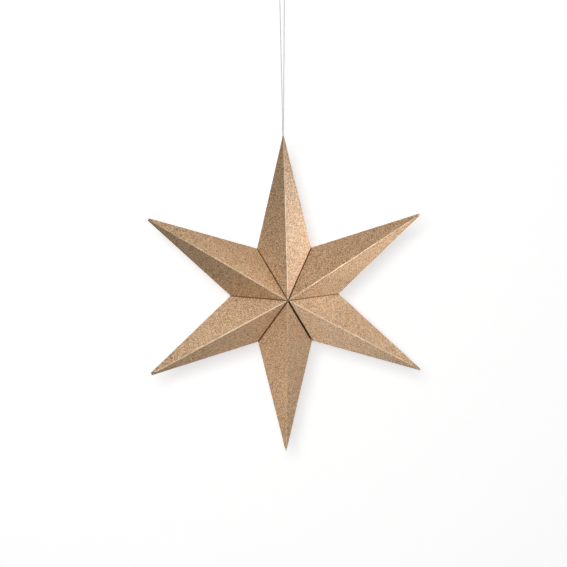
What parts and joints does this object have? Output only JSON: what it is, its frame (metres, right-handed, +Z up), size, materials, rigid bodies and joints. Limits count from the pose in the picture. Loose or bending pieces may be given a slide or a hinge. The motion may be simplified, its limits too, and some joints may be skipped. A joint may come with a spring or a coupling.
{
  "type": "paper star",
  "caption": "Hollow star of folded glitter card with ridged points glued round an axis, closed by pads at a seam and hung by a loop of cord.",
  "frame": {"origin": "where the loop of cord bears on its hook, inside the top of the loop", "axes": "+Z up, +Y from the star's front to its back, +X to the right as seen from the front"},
  "size_m": [0.2571, 0.08, 0.4406],
  "materials": {
    "glitter_card": "satin",
    "hook_tape": "matte",
    "loop_tape": "matte",
    "cord": "matte"
  },
  "bodies": {
    "root": {"point_top": "glitter_card", "point_upper_right": "glitter_card", "point_lower_right": "glitter_card", "point_bottom": "glitter_card", "point_lower_left": "glitter_card", "point_upper_left": "glitter_card", "hook_pad_front": "hook_tape", "hook_pad_back": "hook_tape", "loop_pad_front": "loop_tape", "loop_pad_back": "loop_tape", "hanging_cord": "cord", "cord_knot": "cord"}
  },
  "joints": []
}
